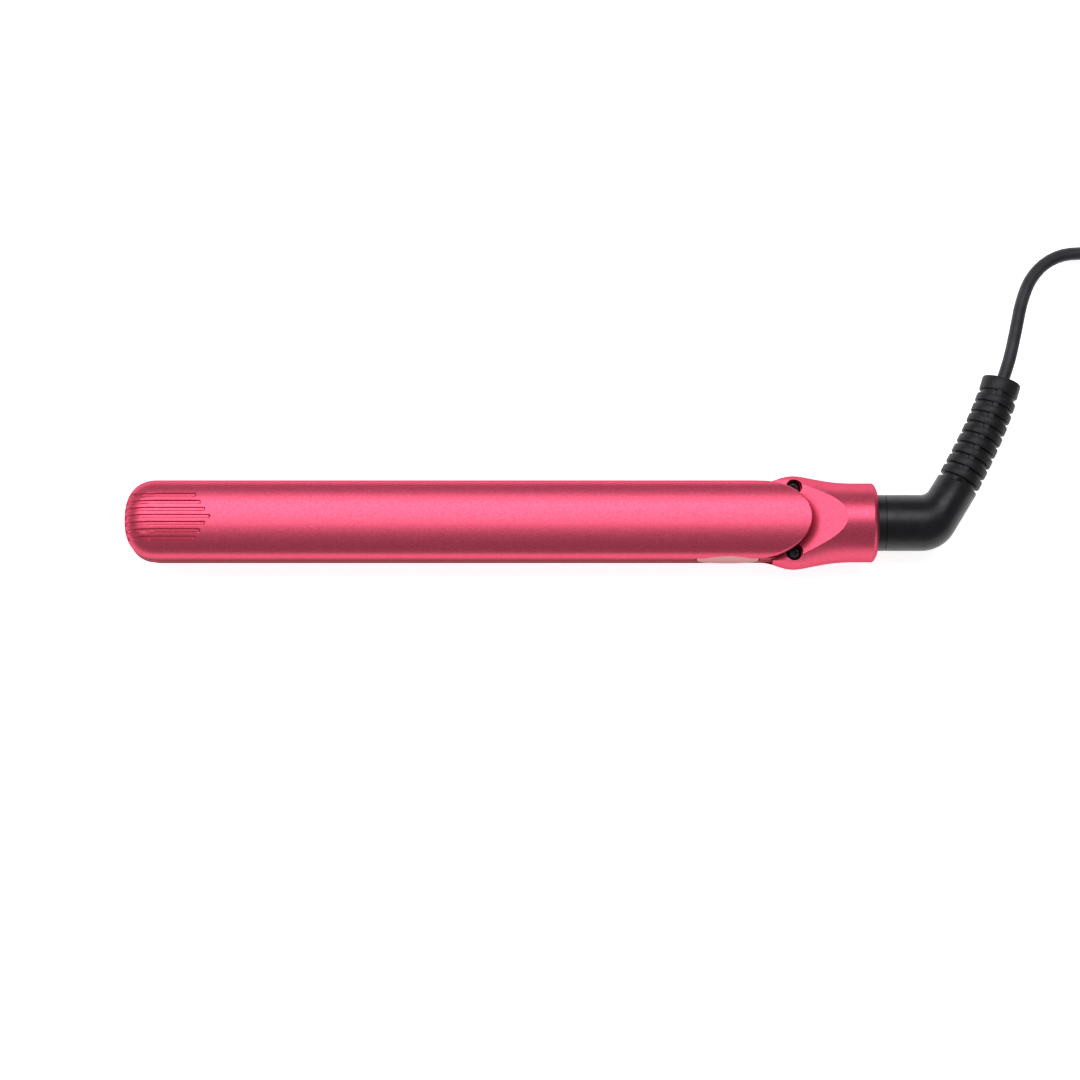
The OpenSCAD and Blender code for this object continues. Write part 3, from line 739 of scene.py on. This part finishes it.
def add_lower_shell():
    """The belly and the lower half of the tail are one shell."""
    outer, inner = [], []
    tip_rows = [TIP_X + TIP_LEN * (1 - (1 - w ** TIP_POWER) ** (1 / TIP_POWER))
                for w in between(0.0, 0.97, 30)]
    straight = between(tip_rows[-1], 88, 60)[1:] + between(88, INNER_END_X, 17)[1:]
    for x in tip_rows + straight:
        outer.append(lower_row(x, 0, LOWER_RIM_Z))
        inner.append(lower_row(max(x, TIP_X + WALL), WALL, LOWER_RIM_Z))
    for x in [INNER_END_X] + between(INNER_END_X, 134, 31)[1:] + [NECK_X]:
        outer.append(lower_row(x, 0, AXIS_Z))
        inner.append(lower_row(x, WALL, AXIS_Z))
    for x, hole in [(NECK_X, NECK_R), (MOUTH_X - 0.01, NECK_R), (MOUTH_X, MOUTH_R)]:
        outer.append(lower_row(x, 0, AXIS_Z))
        inner.append(round_row(x, hole))
    for x in between(CHAMFER_X, TAIL_X, 9):
        outer.append(lower_row(x, 0, AXIS_Z))
        inner.append(round_row(x, MOUTH_R - 0.02))
    shell = shell_between("lower_shell_skin", outer, inner, open_ends=(-1,))
    cut(shell, button_cutter(0.35))
    dress(shell, "pink_shell", "lower_arm", "lower_shell")


BULGE_POWER = 6


def upper_ring(x, inset, low_z):
    """The tail's upper half at x as a closed outline that ends flat at low_z."""
    wide = housing_half_w(x)
    if x > CHAMFER_X:
        wide = chamfer_r(x)
    base = min(wide, TAIL_R)
    ring = []
    for t in between(0, math.pi, 97):
        r = base + (wide - base) * abs(math.cos(t)) ** BULGE_POWER - inset
        ring.append((x, r * math.cos(t), AXIS_Z + r * math.sin(t)))
    ring[0] = (x, ring[0][1], low_z)
    ring[-1] = (x, ring[-1][1], low_z)
    return ring


SCOOP_X = 132.3
SCOOP_SLOPE = 0.384
EAR_FLOOR_Z = 16.9
WELL_Z = 21.4
SCREW_Y = 12.6
SCREW_SEAT_Z = 18


def scoop_cutter(drop=0):
    """The slope that is cut into the top of the tail."""
    low = TOP_Z - drop - (SCOOP_X - 90) * SCOOP_SLOPE
    outline = [(90, low), (SCOOP_X, TOP_Z - drop), (SCOOP_X + 6, TOP_Z - drop + 2.3), (90, 60)]
    return prism("scoop", outline, -25, 25, "y")


def well_cutter():
    """Room for the upper arm's lug, hidden under the arm's rear end."""
    a, b = REAR_LEN - 0.8, HALF_W - 0.8
    plan = [(REAR_X + a * math.cos(t), b * math.sin(t))
            for t in between(-math.pi / 2, math.pi / 2, 97)]
    oval = prism("oval", plan, AXIS_Z - 1, 70)
    lane = block("lane", (90, 130), (-WELL_HALF_W, WELL_HALF_W), (AXIS_Z - 2, 71))
    low = block("well", (90, HINGE_X + 4.8), (-WELL_HALF_W, WELL_HALF_W), (AXIS_Z - 3, WELL_Z))
    return cut(cut(oval, lane, keep="INTERSECT"), low, keep="UNION")


def add_tail_cover():
    x_rows = between(INNER_END_X + 0.1, 134, 60) + [NECK_X] + between(CHAMFER_X, TAIL_X, 9)
    body = lofted("tail_skin", [upper_ring(x, 0, AXIS_Z) for x in x_rows])
    front = rod_y("front", HINGE_X, HINGE_Z, EAR_R, -25, 25, 96)
    rear = prism("rear", [(HINGE_X, 0), (160, 0), (160, 60), (HINGE_X, 60)], -26, 26, "y")
    low = prism("low", [(90, 0), (130, 0), (130, EAR_FLOOR_Z), (90, EAR_FLOOR_Z)], -27, 27, "y")
    kept = cut(cut(rear, low, keep="UNION"), front, keep="UNION")
    cut(body, kept, keep="INTERSECT")
    cavity = lofted("cavity", [upper_ring(x, WALL, AXIS_Z - 1)
                               for x in between(120.5, NECK_X, 12)])
    cut(cavity, scoop_cutter(WALL))
    cut(body, cavity, scoop_cutter(), well_cutter())
    for side in (-1, 1):
        hole = circle(HINGE_X, side * SCREW_Y, 3.15, 64)
        cut(body, prism("recess", hole, SCREW_SEAT_Z, 50))
        cut(body, prism("bore", circle(HINGE_X, side * SCREW_Y, 1.6, 32), 5, 50))
    neck = lofted("neck", [[(x, y, AXIS_Z + z) for y, z in circle(0, 0, r, 96)]
                           for x, r in ((NECK_X - 2, NECK_R), (MOUTH_X, NECK_R),
                                        (MOUTH_X + 0.001, MOUTH_R - 0.02),
                                        (TAIL_X + 2, MOUTH_R - 0.02))])
    cut(body, neck)
    shade(body, 14)
    dress(body, "pink_shell", "lower_arm", "tail_cover")


# ---------------------------------------------------------------- small pieces


def turned(name, outline, centre, axis="z", count=64, sharp=30):
    """A solid turned about an axis; outline holds (radius, height) pairs from end to end."""
    place = {
        "z": lambda r, h, t: (centre[0] + r * math.cos(t), centre[1] + r * math.sin(t), centre[2] + h),
        "y": lambda r, h, t: (centre[0] + r * math.sin(t), centre[1] + h, centre[2] + r * math.cos(t)),
    }[axis]
    angles = between(0, 2 * math.pi, count + 1)[:-1]
    rings = [[place(r(t) if callable(r) else r, h, t) for t in angles] for r, h in outline]
    return lofted(name, rings, sharp)


def add_screws():
    low, high = box_mm("hinge_screws")
    top = high.z

    def star(t):
        return 1.25 + 0.22 * math.cos(6 * t)

    outline = [(1.5, low.z), (1.5, SCREW_SEAT_Z), (2.75, SCREW_SEAT_Z), (2.8, SCREW_SEAT_Z + 0.15),
               (2.8, top - 0.9), (2.68, top - 0.5), (2.4, top - 0.2), (1.9, top - 0.04), (1.62, top),
               (star, top), (star, top - 0.9), (0.15, top - 1.1)]
    for side, name in ((-1, "screw_near"), (1, "screw_far")):
        screw = turned(name, outline, (HINGE_X, side * SCREW_Y, 0))
        dress(screw, "black_screw", "lower_arm", *(["hinge_screws"] if side < 0 else []))


def button_face(z):
    """The button follows the arm's side: upright low down, leaning in towards its top."""
    return -HALF_W - 0.08 + 0.0125 * max(z - 14, 0) ** 2


def add_button():
    low, high = box_mm("power_button")
    a, b = (high.x - low.x) / 2, (high.z - low.z) / 2
    cx, cz = (high.x + low.x) / 2, (high.z + low.z) / 2
    angles = between(0, 2 * math.pi, 97)[:-1]
    profile = [(0.02, 0.0), (0.45, 0.0), (0.75, 0.0), (0.9, 0.0), (0.945, 0.03), (0.972, 0.12),
               (0.992, 0.3), (1.0, 0.55), (1.0, 1.5), (0.6, 1.5), (0.02, 1.5)]
    rings = []
    for scale, back in profile:
        ring = []
        for t in angles:
            x = cx + a * math.cos(t) - math.cos(t) * (1 - scale) * (a if scale < 0.9 else b)
            z = cz + b * scale * math.sin(t)
            ring.append((x, button_face(z) + back, z))
        rings.append(ring)
    cap = lofted("button_cap", rings)
    stem = turned("stem", [(1.4, 0), (1.4, high.y - button_face(13) - 1)],
                  (cx, button_face(13) + 1, 12.8), "y", 32)
    dress(joined("button_skin", [cap, stem]), "button", "power_button", "power_button")


# ---------------------------------------------------------------- cord outlet

ELBOW_R = 10.85
ELBOW_TURN = math.radians(61.5)
INSIDE_TURN = (161.1, 15.35, 4.5)
OUTSIDE_TURN = (161.55, 3.85, 14.7)
RELIEF_START = Vector((175.8, 14.9))
RELIEF_END = Vector((193.9, 55.9))
RELIEF_LEAN = (math.radians(28.5), math.radians(15.5))
SLEEVE_R = 8.25
RINGS = 8
RING_START = 1.9
RING_PITCH = 4.62
RING_T = 3.1
CORE_R = 6.7
END_RING = 5.6
END_RING_R = 7.6
WEB_RISE = 0.95
WEB_EDGE = 0.985  # sine of the angle around the core at which a web starts


def oval(inner, outer, height, sides=72):
    """One upright oval ring between a point on the elbow's inside and one on its outside."""
    middle, half = (inner + outer) / 2, (outer - inner) / 2
    ring = []
    for a in between(0, 2 * math.pi, sides + 1)[:-1]:
        spot = middle + math.cos(a) * half
        ring.append((spot.x, spot.y, AXIS_Z + height * math.sin(a)))
    return ring


def on_turn(centre, angle):
    """A point of a bend, where centre holds its middle's x and y and its radius."""
    x, y, r = centre
    return Vector((x + r * math.sin(angle), y - r * math.cos(angle)))


def add_elbow():
    rings = []
    for x, r in ((134.2, 7.55), (135.65, 7.55), (135.66, 6.45), (138.4, 6.45), (138.41, 8.0),
                 (141.85, 8.0), (141.86, 11.0), (144.4, 11.0), (144.6, ELBOW_R),
                 (147.3, ELBOW_R), (147.42, ELBOW_R - 0.3), (147.62, ELBOW_R - 0.3),
                 (147.74, ELBOW_R), (157, ELBOW_R)):
        rings.append(oval(Vector((x, r)), Vector((x, -r)), r))
    for t in between(0, 1, 25):
        rings.append(oval(on_turn(INSIDE_TURN, t * ELBOW_TURN),
                          on_turn(OUTSIDE_TURN, t * ELBOW_TURN), ELBOW_R - 1.2 * ease(t)))
    lean = RELIEF_LEAN[0]
    side = Vector((math.cos(lean), -math.sin(lean)))
    along = Vector((math.sin(lean), math.cos(lean)))
    for back, r in ((0.35, SLEEVE_R), (0.1, SLEEVE_R - 0.1), (0, SLEEVE_R - 0.35)):
        middle = RELIEF_START - back * along
        rings.append(oval(middle - r * side, middle + r * side, r))
    elbow = lofted("elbow_skin", rings)
    return dress(elbow, "black_plastic", "cord_swivel", "swivel_elbow")


def relief_line():
    """The sleeve's middle line leans less and less towards its free end."""
    reach = (RELIEF_END - RELIEF_START).length / 3
    ways = [Vector((math.sin(a), math.cos(a))) for a in RELIEF_LEAN]
    p = [RELIEF_START, RELIEF_START + reach * ways[0], RELIEF_END - reach * ways[1], RELIEF_END]
    line = []
    for t in between(0, 1, 161):
        spot = ((1 - t) ** 3 * p[0] + 3 * t * (1 - t) ** 2 * p[1] + 3 * t * t * (1 - t) * p[2]
                + t ** 3 * p[3])
        line.append(Vector((spot.x, spot.y, AXIS_Z)))
    return line


def add_relief():
    """Ribbed sleeve: rings on a core, with a short web across the top and bottom of each gap."""
    line = relief_line()
    marks = [0.0]
    for a, b in zip(line, line[1:]):
        marks.append(marks[-1] + (b - a).length)
    total = marks[-1]
    stations = [(0, CORE_R, False), (RING_START, CORE_R, True)]
    for k in range(RINGS):
        s, r = RING_START + k * RING_PITCH, SLEEVE_R - 0.065 * k
        stations += [(s + 0.01, r - 0.45, False), (s + 0.12, r - 0.12, False), (s + 0.4, r, False),
                     (s + RING_T - 0.4, r, False), (s + RING_T - 0.12, r - 0.12, False),
                     (s + RING_T - 0.01, r - 0.45, False), (s + RING_T, CORE_R, True)]
        after = s + RING_PITCH if k < RINGS - 1 else total - END_RING
        stations.append((after, CORE_R, True))
    s, r = total - END_RING, END_RING_R
    stations += [(s + 0.01, r - 0.45, False), (s + 0.12, r - 0.12, False), (s + 0.4, r, False),
                 (total - 0.7, r, False), (total - 0.2, r - 0.2, False), (total, r - 0.7, False),
                 (total + 0.001, 2.7, False)]

    def at(s):
        i = max(k for k, m in enumerate(marks) if m <= min(s, total))
        i = min(i, len(line) - 2)
        return line[i].lerp(line[i + 1], (s - marks[i]) / (marks[i + 1] - marks[i]))

    def radius(i, angle):
        _, r, gap = stations[i]
        return r + WEB_RISE if gap and abs(math.sin(angle)) > WEB_EDGE else r

    relief = sweep("relief_skin", [at(s) for s, _, _ in stations], radius, 96)
    return dress(relief, "black_rubber", "cord_swivel", "strain_relief")


# ---------------------------------------------------------------- plug and tie


def add_plug():
    """A flat two-pin plug with its strain relief, its pins and their sleeves."""
    low, high = box_mm("plug_body")
    cx, cz = (low.x + high.x) / 2, (low.z + high.z) / 2
    rows = [(0, 3.0, 3.0, 2), (0.3, 3.6, 3.6, 2), (2.6, 3.8, 3.8, 2), (2.8, 3.3, 3.3, 2),
            (3.6, 3.3, 3.3, 2), (3.8, 4.0, 4.0, 2), (5.6, 4.2, 4.2, 2), (5.8, 3.7, 3.7, 2),
            (6.6, 3.7, 3.7, 2), (6.8, 4.5, 4.5, 2), (9, 5.0, 4.9, 2.2), (13, 7.4, 5.8, 2.6),
            (17, 10.2, 6.4, 3), (21, 12.0, 6.7, 3.4), (25, 12.7, 6.8, 3.8), (35.4, 12.8, 6.8, 4),
            (35.9, 12.6, 6.6, 4), (36, 12.2, 6.2, 4)]
    rings = []
    for back, a, b, power in rows:
        ring = []
        for t in between(0, 2 * math.pi, 97)[:-1]:
            c, s = math.cos(t), math.sin(t)
            ring.append((cx + math.copysign(a * abs(c) ** (2 / power), c), high.y - back,
                         cz + math.copysign(b * abs(s) ** (2 / power), s)))
        rings.append(ring)
    plug = dress(lofted("plug_skin", rings), "black_plastic", "cord_swivel", "plug_body")
    pins_low, pins_high = box_mm("plug_pins")
    length = low.y - pins_low.y
    pieces = [plug]
    for x, name in ((pins_low.x + 2, "left"), (pins_high.x - 2, "right")):
        pin = turned("pin_" + name, [(1.6, 0), (1.6, -9.9), (2.0, -10.1), (2.0, 0.7 - length),
                                     (1.7, 0.25 - length), (1.1, 0.02 - length), (0.3, -length)],
                     (x, low.y, cz), "y")
        sleeve = turned("sleeve_" + name, [(1.95, 0), (1.95, -9.8), (1.85, -10), (1.61, -10),
                                           (1.61, 0)], (x, low.y, cz), "y")
        dress(pin, "brass", "cord_swivel", *(["plug_pins"] if name == "left" else []))
        dress(sleeve, "black_plastic", "cord_swivel",
              *(["pin_sleeves"] if name == "left" else []))
        pieces += [pin, sleeve]
    return pieces


def add_tie():
    """A flat strap around the coil's turns."""
    thick, half_w, corner = 0.75, 4.0, 2.4
    lo_r, hi_r = COIL_OUTER - 23.05, COIL_OUTER + 2.6
    lo_z, hi_z = 0.78, COIL_LOW_Z + CORD_D + 2.6
    turn = math.radians(225)
    out = Vector((math.cos(turn), math.sin(turn), 0))
    along = Vector((-math.sin(turn), math.cos(turn), 0))
    base = Vector((*COIL_CENTRE, 0))
    loop = []
    corners = ((hi_r, hi_z, 0), (lo_r, hi_z, 90), (lo_r, lo_z, 180), (hi_r, lo_z, 270))
    for r, z, first in corners:
        cr = r - corner if r == hi_r else r + corner
        cz = z - corner if z == hi_z else z + corner
        for step in range(7):
            a = math.radians(first + 15 * step)
            loop.append((cr, cz, math.cos(a), math.sin(a)))
    rings = []
    for w, d in ((-half_w, 0), (-half_w, thick - 0.15), (0.2 - half_w, thick), (half_w - 0.2, thick),
                 (half_w, thick - 0.15), (half_w, 0)):
        ring = []
        for cr, cz, c, s in loop:
            reach = corner + d
            ring.append(base + out * (cr + reach * c) + along * w + Vector((0, 0, cz + reach * s)))
        rings.append(ring)
    points = [p for ring in rings for p in ring]
    tie = make("tie_strap", points,
               grid_faces(len(rings), len(loop), close_rows=True, close_cols=True))
    return dress(tie, "black_rubber", "cord_swivel", "cord_tie")


# ---------------------------------------------------------------- spring between the arms


def add_spring():
    low, high = box_mm("hinge_spring")
    wire = 0.45
    cx, r = (low.x + high.x) / 2, (high.x - low.x) / 2 - wire
    turns, steps = 7, 24
    path = []
    for i in range(turns * steps + 1):
        t = i / (turns * steps)
        close = 0.8 * wire * math.sin(2 * math.pi * t) / math.pi
        a = 2 * math.pi * i / steps
        z = low.z + wire + (high.z - low.z - 2 * wire) * t - close
        path.append(Vector((cx + r * math.cos(a), r * math.sin(a), z)))
    spring = sweep("spring_coil", path, lambda i, a: wire, 12)
    spring.data.materials.append(MATERIALS["steel"])
    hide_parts("hinge_spring")
    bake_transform(spring)


def add_pads():
    """Soft pads for the floating plates, each arm's pair as one mesh of its own."""
    for arm in ("lower", "upper"):
        low, high = box_mm(arm + "_plate_pads")
        blocks = [block(arm + "_pad", (x, x + 8), (low.y, high.y), (low.z, high.z))
                  for x in (low.x, high.x - 8)]
        pads = dress(joined(arm + "_pads", blocks), "silicone", arm + "_arm", arm + "_plate_pads")
        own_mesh(pads)


# ---------------------------------------------------------------- scene

add_camera()
flex, cord_length = add_cord()
add_stage()
dress_cad_nodes()
flex.data.materials.append(MATERIALS["cord"])
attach(flex, "cord_swivel")
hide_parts("mains_cord", "cord_coil", "cord_tail")

add_arms()
add_lower_shell()
add_tail_cover()
add_screws()
add_button()
add_spring()
add_pads()
cord_pieces = [add_elbow(), add_relief(), add_tie()] + add_plug()
